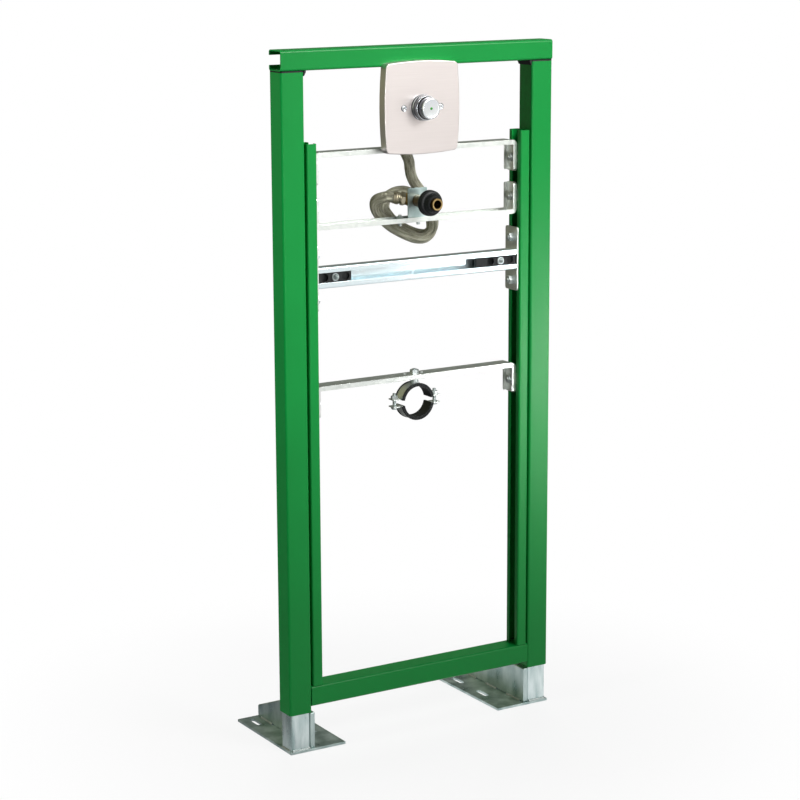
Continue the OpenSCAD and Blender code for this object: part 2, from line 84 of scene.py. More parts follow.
def linear(hex_colour):
    """sRGB hex to the linear colour that Blender uses."""
    parts = [int(hex_colour[i:i + 2], 16) / 255 for i in (1, 3, 5)]
    return [c / 12.92 if c <= 0.04045 else ((c + 0.055) / 1.055) ** 2.4 for c in parts] + [1.0]


def fill(tree, node, **sockets):
    """Fills a node's sockets with numbers, hex colours, or links from other nodes."""
    for name, value in sockets.items():
        places = [s for s in node.inputs if s.name == name.replace("_", " ") and s.enabled]
        for place, one in zip(places, value if isinstance(value, list) else [value]):
            if isinstance(one, bpy.types.Node):
                one = next(out for out in one.outputs if out.enabled)
            if isinstance(one, bpy.types.NodeSocket):
                tree.links.new(one, place)
            else:
                place.default_value = linear(one) if isinstance(one, str) else one


def add(tree, kind, settings=(), **sockets):
    """Adds a node with its settings and fills its sockets."""
    made = tree.nodes.new(kind)
    for key, value in dict(settings).items():
        setattr(made, key, value)
    fill(tree, made, **sockets)
    return made


def finish(name, **sockets):
    """A new material: itself, its tree, its shader, and the place on the object."""
    made = bpy.data.materials.new(name)
    made.use_nodes = True
    tree = made.node_tree
    shader = tree.nodes["Principled BSDF"]
    fill(tree, shader, **sockets)
    return made, tree, shader, add(tree, "ShaderNodeTexCoord").outputs["Object"]


NOISE, MIX, RANGE, BUMP, STRETCH = ("ShaderNodeTexNoise", "ShaderNodeMix", "ShaderNodeMapRange",
                                    "ShaderNodeBump", "ShaderNodeMapping")
COLOURS = {"data_type": "RGBA"}

# Polyester powder coat, baked: satin green, with an orange peel about 2 mm across
powder_coat, tree, shader, at = finish("powder_coat_green", Specular_IOR_Level=0.24)
cloud = add(tree, NOISE, Vector=at, Scale=9.0, Detail=3.0)
tone = add(tree, MIX, COLOURS, Factor=cloud, A="#058A38", B="#0A943F")
gloss = add(tree, RANGE, Value=cloud, To_Min=0.3, To_Max=0.4)
peel = add(tree, NOISE, Vector=at, Scale=480.0, Detail=1.5)
skin = add(tree, BUMP, Height=peel, Distance=0.00012, Strength=0.3)
fill(tree, shader, Base_Color=tone, Roughness=gloss, Normal=skin)

# Hot dip galvanised strip, skin passed: pale silver, with faint crystals about 6 mm wide
galvanised, tree, shader, at = finish("galvanised_strip", Metallic=0.9)
crystal = add(tree, "ShaderNodeTexVoronoi", Vector=at, Scale=170.0)
grey = add(tree, "ShaderNodeRGBToBW", Color=crystal.outputs["Color"])
tone = add(tree, MIX, COLOURS, Factor=grey, A="#CFD4D0", B="#DBDFDB")
gloss = add(tree, RANGE, Value=grey, To_Min=0.32, To_Max=0.4)
scuff = add(tree, NOISE, Vector=at, Scale=90.0, Detail=4.0)
skin = add(tree, BUMP, Height=scuff, Distance=0.0001, Strength=0.2)
fill(tree, shader, Base_Color=tone, Roughness=gloss, Normal=skin)

# The fixing rail's strip: the galvanised finish painted paler and bluer so that its slot stays pale,
# painted light, and made smoother
rail_strip_painted_pale, tree, shader, at = finish("galvanised_painted_pale", Metallic=0.9)
cloud = add(tree, NOISE, Vector=at, Scale=60.0, Detail=3.0)
tone = add(tree, MIX, COLOURS, Factor=cloud, A="#D8E6EA", B="#DFEAED")
gloss = add(tree, RANGE, Value=cloud, To_Min=0.26, To_Max=0.28)
fill(tree, shader, Base_Color=tone, Roughness=gloss)

# Electroplated zinc on welded plate: bluish, cloudy, with drips that run down
zinc_plate, tree, shader, at = finish("zinc_plated_plate", Metallic=0.85)
run = add(tree, STRETCH, Vector=at, Scale=(1.0, 1.0, 0.4))
cloud = add(tree, NOISE, Vector=run, Scale=30.0, Detail=6.0)
cloud = add(tree, RANGE, Value=cloud, From_Min=0.34, From_Max=0.66)
tone = add(tree, MIX, COLOURS, Factor=cloud, A="#8AA19F", B="#D6E4E2")
gloss = add(tree, RANGE, Value=cloud, To_Min=0.26, To_Max=0.46)
grain = add(tree, NOISE, Vector=at, Scale=500.0, Detail=3.0)
skin = add(tree, BUMP, Height=grain, Distance=0.00012, Strength=0.35)
fill(tree, shader, Base_Color=tone, Roughness=gloss, Normal=skin)

# The legs are drawn tube, smoother under the same zinc, with fainter clouds; their colour is painted
# paler than the plate's, a lit copy: painted light
zinc_tube_painted_pale, tree, shader, at = finish("zinc_plated_tube", Metallic=0.85)
run = add(tree, STRETCH, Vector=at, Scale=(1.0, 1.0, 0.25))
cloud = add(tree, NOISE, Vector=run, Scale=60.0, Detail=5.0)
cloud = add(tree, RANGE, Value=cloud, From_Min=0.34, From_Max=0.66)
tone = add(tree, MIX, COLOURS, Factor=cloud, A="#ABC1C0", B="#E4F0F0")
gloss = add(tree, RANGE, Value=cloud, To_Min=0.24, To_Max=0.36)
fill(tree, shader, Base_Color=tone, Roughness=gloss)

# Zinc plated cold formed fasteners: smoother, with a cloudy tone, their colour painted brighter for the
# light their curved edges catch: painted light
zinc_bolt_painted_bright, tree, shader, at = finish("zinc_plated_fastener", Metallic=0.8)
cloud = add(tree, NOISE, Vector=at, Scale=140.0, Detail=3.0)
tone = add(tree, MIX, COLOURS, Factor=cloud, A="#B2BBBB", B="#DAE0DF")
gloss = add(tree, RANGE, Value=cloud, To_Min=0.22, To_Max=0.38)
fill(tree, shader, Base_Color=tone, Roughness=gloss)

# Plated weld bead: duller than the plate, with ripples about 2 mm apart
weld_metal, tree, shader, at = finish("plated_weld_bead", Metallic=0.8)
cloud = add(tree, NOISE, Vector=at, Scale=260.0, Detail=4.0)
tone = add(tree, MIX, COLOURS, Factor=cloud, A="#7C8A8C", B="#D3DAD8")
gloss = add(tree, RANGE, Value=cloud, To_Min=0.35, To_Max=0.6)
skin = add(tree, BUMP, Height=cloud, Distance=0.0004, Strength=0.5)
fill(tree, shader, Base_Color=tone, Roughness=gloss, Normal=skin)

# Moulded polyamide: black, with a spark eroded grain finer than half a millimetre
black_plastic, tree, shader, at = finish("moulded_polyamide_black", Specular_IOR_Level=0.3)
cloud = add(tree, NOISE, Vector=at, Scale=60.0, Detail=3.0)
tone = add(tree, MIX, COLOURS, Factor=cloud, A="#0E1011", B="#181B1C")
gloss = add(tree, RANGE, Value=cloud, To_Min=0.42, To_Max=0.56)
grain = add(tree, NOISE, Vector=at, Scale=1500.0, Detail=1.0)
skin = add(tree, BUMP, Height=grain, Distance=0.00005, Strength=0.4)
fill(tree, shader, Base_Color=tone, Roughness=gloss, Normal=skin)

# Moulded EPDM rubber: deep black, soft sheen, with a slight bloom
black_rubber, tree, shader, at = finish("moulded_epdm_black", Specular_IOR_Level=0.22)
cloud = add(tree, NOISE, Vector=at, Scale=45.0, Detail=3.0)
tone = add(tree, MIX, COLOURS, Factor=cloud, A="#0B0D0E", B="#171A1B")
gloss = add(tree, RANGE, Value=cloud, To_Min=0.36, To_Max=0.5)
fill(tree, shader, Base_Color=tone, Roughness=gloss)

# Brushed stainless sheet: warm, its grain runs across, each line about a third of a millimetre
brushed, tree, shader, at = finish("brushed_stainless", Metallic=0.92, Anisotropic=0.3)
lines = add(tree, STRETCH, Vector=at, Scale=(14.0, 14.0, 3000.0))
grain = add(tree, NOISE, Vector=lines, Scale=1.0, Detail=2.0)
tone = add(tree, MIX, COLOURS, Factor=grain, A="#C8C0BE", B="#D8D1CF")
gloss = add(tree, RANGE, Value=grain, To_Min=0.3, To_Max=0.46)
skin = add(tree, BUMP, Height=grain, Distance=0.00004, Strength=0.3)
fill(tree, shader, Base_Color=tone, Roughness=gloss, Normal=skin)

# Chrome plate, polished: a clean mirror with almost no tint and a trace of haze
chrome, tree, shader, at = finish("polished_chrome", Metallic=1.0)
haze = add(tree, NOISE, Vector=at, Scale=90.0, Detail=2.0)
tone = add(tree, MIX, COLOURS, Factor=haze, A="#D9DDE1", B="#E4E7EA")
gloss = add(tree, RANGE, Value=haze, To_Min=0.2, To_Max=0.28)
fill(tree, shader, Base_Color=tone, Roughness=gloss)

# Chrome painted dark for the button's sides, its ring's sides and the screw heads' hollows and rims:
# painted shade, a dark mirror copied from the chrome for the darker surroundings they reflect
chrome_painted_dark, tree, shader, at = finish("chrome_painted_shade", Metallic=1.0)
haze = add(tree, NOISE, Vector=at, Scale=90.0, Detail=2.0)
tone = add(tree, MIX, COLOURS, Factor=haze, A="#54585C", B="#70747A")
gloss = add(tree, RANGE, Value=haze, To_Min=0.05, To_Max=0.1)
fill(tree, shader, Base_Color=tone, Roughness=gloss)

# Machined brass, dulled by handling: turning marks about half a millimetre apart
brass, tree, shader, at = finish("machined_brass", Metallic=1.0)
marks = add(tree, STRETCH, Vector=at, Scale=(60.0, 2000.0, 60.0))
grain = add(tree, NOISE, Vector=marks, Scale=1.0, Detail=2.0)
tone = add(tree, MIX, COLOURS, Factor=grain, A="#8A6F42", B="#CDB27E")
gloss = add(tree, RANGE, Value=grain, To_Min=0.24, To_Max=0.44)
fill(tree, shader, Base_Color=tone, Roughness=gloss)

# The same brass painted dark brown where the rubber collar shades it: painted shade
brass_painted_dark, tree, shader, at = finish("brass_painted_shade", Metallic=0.9)
cloud = add(tree, NOISE, Vector=at, Scale=150.0, Detail=3.0)
tone = add(tree, MIX, COLOURS, Factor=cloud, A="#46341C", B="#705530")
gloss = add(tree, RANGE, Value=cloud, To_Min=0.3, To_Max=0.5)
fill(tree, shader, Base_Color=tone, Roughness=gloss)

# Nickel plate over brass on the hose fittings: warm silver, a little tarnished
nickel, tree, shader, at = finish("nickel_plated_brass", Metallic=1.0)
cloud = add(tree, NOISE, Vector=at, Scale=120.0, Detail=4.0)
tone = add(tree, MIX, COLOURS, Factor=cloud, A="#7D7662", B="#B9B29B")
gloss = add(tree, RANGE, Value=cloud, To_Min=0.2, To_Max=0.4)
fill(tree, shader, Base_Color=tone, Roughness=gloss)

# Signal green enamel in the button's dot
green_enamel, tree, shader, at = finish("enamel_green", Roughness=0.3)
cloud = add(tree, NOISE, Vector=at, Scale=200.0)
tone = add(tree, MIX, COLOURS, Factor=cloud, A="#268A22", B="#379E30")
fill(tree, shader, Base_Color=tone)

# Woven stainless wire over the hose: two families of flat strands that cross at right
# angles. They are drawn about 4 mm wide, coarser than real, so that they show, with darker
# streaks where the wires have spread. The map counts strands along the hose and round it.
braid, tree, shader, at = finish("woven_steel_braid", Metallic=0.85, Roughness=0.38)
strands = add(tree, "ShaderNodeUVMap", {"uv_map": "hose"})
lay_across = add(tree, STRETCH, Vector=strands, Rotation=(0, 0, math.radians(45)))
over = add(tree, "ShaderNodeTexChecker", Vector=lay_across, Scale=1.0)
rib_a = add(tree, "ShaderNodeTexWave", {"bands_direction": "X"}, Vector=lay_across, Scale=1.6,
            Distortion=0.3, Detail=0.0)
rib_b = add(tree, "ShaderNodeTexWave", {"bands_direction": "Y"}, Vector=lay_across, Scale=1.6,
            Distortion=0.3, Detail=0.0)
weave = add(tree, MIX, Factor=over.outputs["Fac"], A=rib_a.outputs["Fac"],
            B=rib_b.outputs["Fac"])
spread = add(tree, STRETCH, Vector=strands, Rotation=(0, 0, math.radians(20)),
             Scale=(0.12, 0.9, 1.0))
streak = add(tree, NOISE, Vector=spread, Scale=1.0, Detail=3.0, Roughness=0.6)
streak = add(tree, RANGE, Value=streak, From_Min=0.35, From_Max=0.65)
mottle = add(tree, MIX, Factor=0.55, A=weave, B=streak)
tone = add(tree, MIX, COLOURS, Factor=mottle, A="#403F2E", B="#CBC9B4")
skin = add(tree, BUMP, Height=mottle, Distance=0.0009, Strength=0.8)
fill(tree, shader, Base_Color=tone, Normal=skin)


# The braided hose comes first: the points of its route, from the valve to the elbow

ROUTE = [
    (-8, 50, 978), (-8, 50, 967), (2, 51, 950), (10, 55, 938), (16, 62, 925), (22, 68, 913),
    (30, 72, 901), (40, 75, 890), (50, 76, 878), (58, 77, 866), (65, 76, 852), (67, 73, 837),
    (63, 70, 823), (51, 68, 815), (36, 69, 816), (22, 71, 821), (9, 75, 828), (-3, 78, 837),
    (-13, 81, 848), (-20, 83, 861), (-18, 80, 876), (-8, 75, 885), (6, 69, 888), (19, 64, 884),
    (31, 60, 875), (41, 57, 864), (48, 55, 851), (50, 51, 836), (47, 48, 822), (35, 47, 813),
    (20, 49, 813), (6, 52, 818), (-7, 57, 825), (-19, 62, 833), (-30, 66, 843), (-40, 67, 854),
    (-48, 64, 867), (-50, 56, 879), (-40.5, 40.7, 885.1), (-31.2, 37.3, 883.7)]
HOSE_R = 8.75


def smooth_run(points, steps):
    """Points along a smooth curve through the given ones."""
    out = []
    p = [points[0] * 2 - points[1], *points, points[-1] * 2 - points[-2]]
    for i in range(1, len(p) - 2):
        for k in range(steps):
            t = k / steps
            a, b, c, d = p[i - 1:i + 3]
            out.append(0.5 * ((2 * b) + (c - a) * t + (2 * a - 5 * b + 4 * c - d) * t * t
                              + (3 * b - a - 3 * c + d) * t ** 3))
    return out + [points[-1]]


def swept_hose(name, line, radius, around):
    """A closed tube along a line, with a map that holds the strands' places."""
    mesh = bpy.data.meshes.new(name)
    hose = bpy.data.objects.new(name, mesh)
    bpy.context.scene.collection.objects.link(hose)
    shell = bmesh.new()
    uv = shell.loops.layers.uv.new("hose")
    side = Vector((1, 0, 0))
    rings, along = [], [0.0]
    for i, point in enumerate(line):
        run = (line[min(i + 1, len(line) - 1)] - line[max(i - 1, 0)]).normalized()
        side = (side - run * side.dot(run)).normalized()
        other = run.cross(side)
        rings.append([shell.verts.new(point + radius * (side * math.cos(a) + other * math.sin(a)))
                      for a in (2 * math.pi * k / around for k in range(around))])
        if i:
            along.append(along[-1] + (point - line[i - 1]).length)
    girth = 2 * math.pi * radius
    for i in range(len(line) - 1):
        for k in range(around):
            n = (k + 1) % around
            face = shell.faces.new((rings[i][k], rings[i][n], rings[i + 1][n], rings[i + 1][k]))
            face.smooth = True
            for loop, (u, v) in zip(face.loops, ((i, k), (i, k + 1), (i + 1, k + 1), (i + 1, k))):
                loop[uv].uv = (along[u] / girth * 18, v / around * 18)
    shell.faces.new(rings[0][::-1])
    shell.faces.new(rings[-1])
    bmesh.ops.recalc_face_normals(shell, faces=shell.faces)
    shell.to_mesh(mesh)
    shell.free()
    return hose


hose_line = smooth_run([spot(*p) for p in ROUTE], 6)
hose = swept_hose("woven_hose", hose_line, HOSE_R * MM, 40)
hose.data.materials.append(braid)
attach(hose, "frame")
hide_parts("braided_hose")


# Ways of making pieces: each is made along Z, then laid in its place

FRONTWARD, UP, DOWN = (0, -1, 0), (0, 0, 1), (0, 0, -1)


def only(*pieces):
    """These pieces alone are selected, and the first is active."""
    bpy.ops.object.select_all(action="DESELECT")
    for piece in pieces:
        piece.select_set(True)
    if pieces:
        bpy.context.view_layer.objects.active = pieces[0]


def second_look(piece, look, chosen):
    """Gives the faces that are chosen by their middle and normal a second material."""
    piece.data.materials.append(look)
    for face in piece.data.polygons:
        face.material_index = int(chosen(face.center / MM, face.normal))


def fix_place(name, look):
    """Names the primitive just added, and puts its place and size into its mesh."""
    piece = bpy.context.object
    piece.name = piece.data.name = name
    bpy.ops.object.transform_apply(location=True, rotation=True, scale=True)
    if look:
        piece.data.materials.append(look)
    return piece


def smooth(piece, degrees=32):
    only(piece)
    bpy.ops.object.shade_smooth_by_angle(angle=math.radians(degrees))
    return piece


def turned(name, outline, look, steps=64):
    """Turned work: a point is drawn out along the outline, (radius, height), and spun."""
    r, h = outline[0]
    only()
    bpy.ops.mesh.primitive_plane_add(size=0.0001, location=(r * MM, 0, h * MM))
    piece = fix_place(name, look)
    bpy.ops.object.mode_set(mode="EDIT")
    bpy.ops.mesh.select_mode(type="VERT")
    bpy.ops.mesh.select_all(action="SELECT")
    bpy.ops.mesh.merge(type="CENTER")
    for (r, h), (far_r, far_h) in zip(outline, outline[1:]):
        bpy.ops.mesh.extrude_region_move(
            TRANSFORM_OT_translate={"value": ((far_r - r) * MM, 0, (far_h - h) * MM)})
    bpy.ops.mesh.select_all(action="SELECT")
    bpy.ops.mesh.spin(steps=steps, angle=2 * math.pi, center=(0, 0, 0), axis=(0, 0, 1))
    bpy.ops.mesh.select_all(action="SELECT")
    bpy.ops.mesh.remove_doubles(threshold=2e-6)
    bpy.ops.mesh.normals_make_consistent(inside=False)
    bpy.ops.object.mode_set(mode="OBJECT")
    return smooth(piece)


def apply_tool(piece, kind, **settings):
    tool = piece.modifiers.new(kind, kind)
    for key, value in settings.items():
        setattr(tool, key, value)
    only(piece)
    bpy.ops.object.modifier_apply(modifier=tool.name)


def cut(piece, tool, how="DIFFERENCE"):
    apply_tool(piece, "BOOLEAN", object=tool, operation=how, solver="EXACT")
    bpy.data.objects.remove(tool)
    return piece


def hexagon(across, low, high, look, both_ends=False):
    """A hexagon nut or head: a six sided bar, its corners turned off at 30 degrees."""
    only()
    bpy.ops.mesh.primitive_cylinder_add(vertices=6, radius=across / 1.7321 * MM,
                                        depth=(high - low) * MM,
                                        location=(0, 0, (high + low) / 2 * MM))
    piece = fix_place("hexagon", None)
    wide, flat = across * 0.6, across * 0.475
    drop = (wide - flat) * 0.577
    foot = [(0, low), (flat, low), (wide, low + drop)] if both_ends else [(0, low), (wide, low)]
    lathe = turned("corner_lathe", foot + [(wide, high - drop), (flat, high), (0, high)], None, 48)
    cut(piece, lathe, "INTERSECT")
    piece.data.materials.clear()
    piece.data.materials.append(look)
    return smooth(piece, 20)


def block(low, high, look, round_off=0.6):
    """A small block between two corners, its edges rounded off."""
    only()
    low, high = Vector(low) * MM, Vector(high) * MM
    bpy.ops.mesh.primitive_cube_add(size=1, location=(low + high) / 2, scale=high - low)
    piece = fix_place("block", look)
    apply_tool(piece, "BEVEL", width=round_off * MM, segments=2)
    return smooth(piece)


def thread(radius, pitch, low, high, depth=0.6):
    """The outline of a threaded bar between two heights, its far end chamfered."""
    rows, z = [(0, low), (radius - depth, low)], low
    while z + pitch < high - 0.2:
        rows += [(radius - depth, z + pitch * 0.12), (radius, z + pitch * 0.45),
                 (radius, z + pitch * 0.62), (radius - depth, z + pitch * 0.95)]
        z += pitch
    return rows + [(radius - depth, high - 0.1), (radius - depth - 0.4, high), (0, high)]


def lay(piece, place, way=UP, twist=0.0):
    """Lays a piece made along Z at a point, pointing a way, turned about itself."""
    aim = Vector(UP).rotation_difference(Vector(way)).to_matrix().to_4x4()
    piece.data.transform(Matrix.Translation(place) @ aim
                         @ Matrix.Rotation(math.radians(twist), 4, "Z"))
    return piece


def copied(piece, place=(0, 0, 0), way=UP, twist=0.0):
    twin = piece.copy()
    twin.data = piece.data.copy()
    bpy.context.scene.collection.objects.link(twin)
    return lay(twin, place, way, twist)


def joined(name, parts):
    only(*parts)
    bpy.ops.object.join()
    whole = bpy.context.object
    whole.name = whole.data.name = name
    return whole


def settle(piece, body, slot, *nodes):
    """The piece rides on its body and stands for its solids. Its slot is not used."""
    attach(piece, body)
    if nodes:
        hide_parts(*nodes)
    return piece


def merged(node, name, look):
    """A copy of a solid, its loose triangles merged into whole faces."""
    piece = copied(frame["nodes"][node])
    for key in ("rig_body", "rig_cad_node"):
        del piece[key]
    piece.parent = None
    piece.name = piece.data.name = name
    only(piece)
    bpy.ops.object.mode_set(mode="EDIT")
    bpy.ops.mesh.select_all(action="SELECT")
    bpy.ops.mesh.remove_doubles(threshold=1e-6)
    bpy.ops.mesh.dissolve_limited(angle_limit=math.radians(0.5))
    bpy.ops.mesh.select_all(action="DESELECT")
    bpy.ops.object.mode_set(mode="OBJECT")
    piece.data.materials.clear()
    piece.data.materials.append(look)
    return piece


def eased(nodes, width, look, body, slot, segments=2, reshape=None):
    """Copies of solids whose sharp edges are eased, as a press or a file leaves them."""
    for node in nodes.split():
        piece = merged(node, node + "_eased", look)
        if reshape:
            reshape(piece)
        apply_tool(piece, "BEVEL", width=width * MM, segments=segments, limit_method="ANGLE",
                   angle_limit=math.radians(40), use_clamp_overlap=True)
        apply_tool(smooth(piece), "WEIGHTED_NORMAL", keep_sharp=True, weight=100)
        settle(piece, body, slot, node)


ripple = bpy.data.textures.new("arc_ripple", "CLOUDS")
ripple.noise_scale = 0.0026


def weld(start, end, radius):
    """A weld bead: a bar cut into rings and pushed about, as the arc leaves it."""
    start, end = spot(*start), spot(*end)
    run = end - start
    only()
    bpy.ops.mesh.primitive_cylinder_add(vertices=12, radius=radius * MM, depth=run.length)
    bead = fix_place("weld_bead", weld_metal)
    for edge in bead.data.edges:
        a, b = (bead.data.vertices[i].co for i in edge.vertices)
        edge.select = abs(a.z - b.z) > run.length / 2
    for face in bead.data.polygons:
        face.select = False
    bpy.ops.object.mode_set(mode="EDIT")
    bpy.ops.mesh.select_mode(type="EDGE")
    bpy.ops.mesh.subdivide(number_cuts=int(run.length / MM / 1.1))
    bpy.ops.object.mode_set(mode="OBJECT")
    lay(bead, (start + end) / 2, run)
    apply_tool(bead, "DISPLACE", texture=ripple, strength=radius * 1.1 * MM, mid_level=0.5)
    return smooth(bead, 60)


# Painted steel: the cut ends of the tubes and channels are deburred

eased("left_post right_post top_rail bottom_rail left_inner_rail right_inner_rail", 0.5,
      powder_coat, "frame", "powder_coat")
eased("left_post_cap right_post_cap left_slide_insert right_slide_insert", 0.4, black_plastic,
      "frame", "black_plastic")


# Cut and pressed sheet: the edges catch the light

eased("upper_crossbar lower_crossbar waste_crossbar valve_bracket left_end_plate "
      "right_end_plate", 0.45, galvanised, "frame", "galvanised_steel")
eased("fixing_rail", 0.45, rail_strip_painted_pale, "frame", "galvanised_steel")
eased("inlet_bracket", 0.45, zinc_plate, "frame", "galvanised_steel")

# A black back is set behind each slide round its bush so that the slide's side holes show dark: a dark
# sheet put where the rail's inside has only shade, painted shade
for side, s, low, high in (("left", -1, -183.5, -126.5), ("right", 1, 108.5, 183.5)):
    back = block((low, 11.1 + FRONT, 757), (high, 13 + FRONT, 784), black_plastic, 0.3)
    hole = turned("bush_hole", [(0, -14), (6.1, -14), (6.1, -10), (0, -10)], None, 40)
    cut(back, lay(hole, spot(155 * s, 0, 770.5), FRONTWARD))
    back.name = back.data.name = side + "_slide_shade_back"
    settle(back, "frame", "black_plastic")


# Feet: sawn plate with a tube and a gusset welded on, then plated

GUSSET_IN = 205.9    # the gusset's inner face in the solids
GUSSET_EXTRA = 2.5   # the photographed one is thicker by this much


def thicken(gusset):
    for v in gusset.data.vertices:
        if abs(v.co.x) < (GUSSET_IN + 0.5) * MM:
            v.co.x -= math.copysign(GUSSET_EXTRA * MM, v.co.x)


for side, s in (("left", -1), ("right", 1)):
    body = side + "_foot"
    eased(body + "_plate", 0.8, zinc_plate, body, "foot_steel", 3)
    eased(body + "_gusset", 1.8, zinc_plate, body, "foot_steel", 3, thicken)
    eased(body + "_leg", 0.6, zinc_tube_painted_pale, body, "foot_steel")
    seams = [((246, 2.0, 4.4), (214, 2.0, 4.4), 2.6), ((247.8, 6, 4.2), (247.8, 32, 4.2), 2.0),
             ((212.2, 35.8, 5), (212.2, 35.8, 54), 1.9), ((203.2, 12, 4.2), (203.2, 52, 4.2), 2.2),
             ((203.2, 84, 4.2), (203.2, 118, 4.2), 2.2), ((203.2, 148, 4.2), (203.2, 181, 4.2), 2.2),
             ((212.6, 62, 4.2), (212.6, 98, 4.2), 2.2), ((212.6, 132, 4.2), (212.6, 170, 4.2), 2.2)]
    beads = [weld((s * a[0], *a[1:]), (s * b[0], *b[1:]), r) for a, b, r in seams]
    settle(joined(body + "_weld_beads", beads), body, "foot_steel")

heel = joined("leg_screw", [
    hexagon(13, 0, 6.5, zinc_bolt_painted_bright),
    lay(turned("screw_point", thread(4, 1.25, -0.4, 2.3, 0.5), zinc_bolt_painted_bright, 28), Vector(), DOWN)])
heels = [copied(heel, spot(s * 230, 38, 91.75), (0, 1, 0), 12 * s) for s in (-1, 1)]
bpy.data.objects.remove(heel)
settle(joined("leg_clamp_screws_turned", heels), "frame", "zinc_fasteners", "leg_clamp_screws")


# Push button: a spun ring with a concave flare, and a cap with a green dot

VALVE = spot(-8, 0, 1029)
ring = turned("button_ring_turned", [
    (15.3, 16), (20.4, 16), (20.8, 16.4), (20.8, 18.8), (20.4, 19.5), (19.6, 20.2), (19.0, 21.4),
    (18.8, 23), (18.8, 25.4), (19.0, 26.8), (19.4, 27.6), (19.4, 29.2), (19.0, 29.9), (18.3, 30),
    (17.6, 29.5), (17.2, 28.6), (17.2, 19.2), (15.3, 19.2), (15.3, 16)], chrome, 96)
# The ring's sides take the chrome painted dark, and its front faces stay bright: painted shade
second_look(ring, chrome_painted_dark, lambda middle, normal: normal.z < 0.5)
settle(lay(ring, VALVE, FRONTWARD), "frame", "bright_chrome", "button_ring")
cap = turned("button_cap_turned", [
    (0, -8), (5.6, -8), (6, -7.6), (6, 28), (16.3, 28), (16.8, 28.5), (16.8, 40.2), (16.6, 41.3),
    (16.0, 42.2), (15.1, 42.8), (14.2, 43), (13.4, 42.9), (12.9, 42.6), (12.4, 42.5), (0, 42.5)],
             chrome, 96)
dot = turned("button_dot", [(0, 42.3), (2.1, 42.3), (2.1, 42.75), (1.9, 42.95), (0, 43)],
             green_enamel, 32)
# The cap's sides take the chrome painted dark, and its face stays bright: painted shade
second_look(cap, chrome_painted_dark, lambda middle, normal: normal.z < 0.5)
settle(lay(cap, VALVE, FRONTWARD), "button", "bright_chrome", "push_button")
settle(lay(dot, VALVE, FRONTWARD), "button", "powder_coat")


# Cover plate: its front edge is rolled over, and its two screws sit in dished washers

cover = merged("cover_plate", "cover_plate_rolled", brushed)
face_y = min(v.co.y for v in cover.data.vertices)
for edge in cover.data.edges:
    ends = [cover.data.vertices[i].co for i in edge.vertices]
    edge.select = all(abs(c.y - face_y) < 1e-5 and Vector((c.x - VALVE.x, c.z - VALVE.z)).length
                      > 0.055 for c in ends)
only(cover)
bpy.ops.object.mode_set(mode="EDIT")
bpy.ops.mesh.bevel(offset=1.4 * MM, segments=4, profile=0.5)
bpy.ops.object.mode_set(mode="OBJECT")
apply_tool(smooth(cover), "WEIGHTED_NORMAL", keep_sharp=True, weight=100)
settle(cover, "frame", "brushed_stainless", "cover_plate")

head = turned("screw_head", [
    (1.9, 15), (3.6, 15.9), (4.6, 16), (5.1, 16.15), (5.1, 16.5), (4.7, 16.9), (4.1, 16.8),
    (3.7, 16.5), (3.2, 16.6), (2.7, 17.1), (1.9, 17.2), (1.2, 17.0), (1.2, 16.2), (0, 16.1)],
    chrome, 40)
# The screw heads' centre hollow and outer rim take the chrome painted dark: painted shade
second_look(head, chrome_painted_dark, lambda middle, normal: abs(middle.xy.length - 2.8) > 1.5)
shank = turned("screw_shank", thread(1.9, 0.7, 2.2, 15.4, 0.3), zinc_bolt_painted_bright, 24)
screw = joined("cover_screw", [head, shank])
screws = [copied(screw, VALVE + Vector((s * 33.8 * MM, 0, 0)), FRONTWARD) for s in (-1, 1)]
bpy.data.objects.remove(screw)
settle(joined("cover_screws_turned", screws), "frame", "bright_chrome", "cover_screws")


# Flush valve: a turned body with a hexagon cap, a threaded inlet above, an outlet below

barrel = turned("valve_barrel", [
    (0, -72), (20, -72), (21, -71), (21, -62), (20.2, -61.2), (20.2, -58.8), (21, -58), (21, -44),
    (23.4, -43), (24, -42.4), (24, -38.5), (23.5, -38), (15, -38), (15, 18.5), (14.5, 19),
    (6.1, 19), (6.1, -20), (0, -20)], brass)
crown = hexagon(26, 72, 78, brass)
riser = turned("valve_inlet", [
    (0, 24), (7.5, 24), (7.5, 53.6), (8, 54), *reversed(thread(10.4, 1.8, 36, 54)[2:-2]),
    (9.7, 34.6), (13.4, 34), (14, 33.4), (14, 18), (0, 18)], brass)
spout = turned("valve_outlet", [
    (0, 10), (11.8, 10), (11.8, 26.6), (11.4, 27), *thread(10, 1.8, 27, 34)[2:-1], (0, 34)], brass)
settle(joined("valve_body_turned", [
    lay(barrel, VALVE, FRONTWARD), lay(crown, VALVE, (0, 1, 0), 15),
    lay(riser, VALVE + Vector((0, 0.052, 0)), UP), lay(spout, VALVE + Vector((0, 0.050, 0)), DOWN)]),
    "frame", "brass", "valve_body")


# Bolts in the rails: washer, hexagon head, thread end, and the slide nut behind the lips

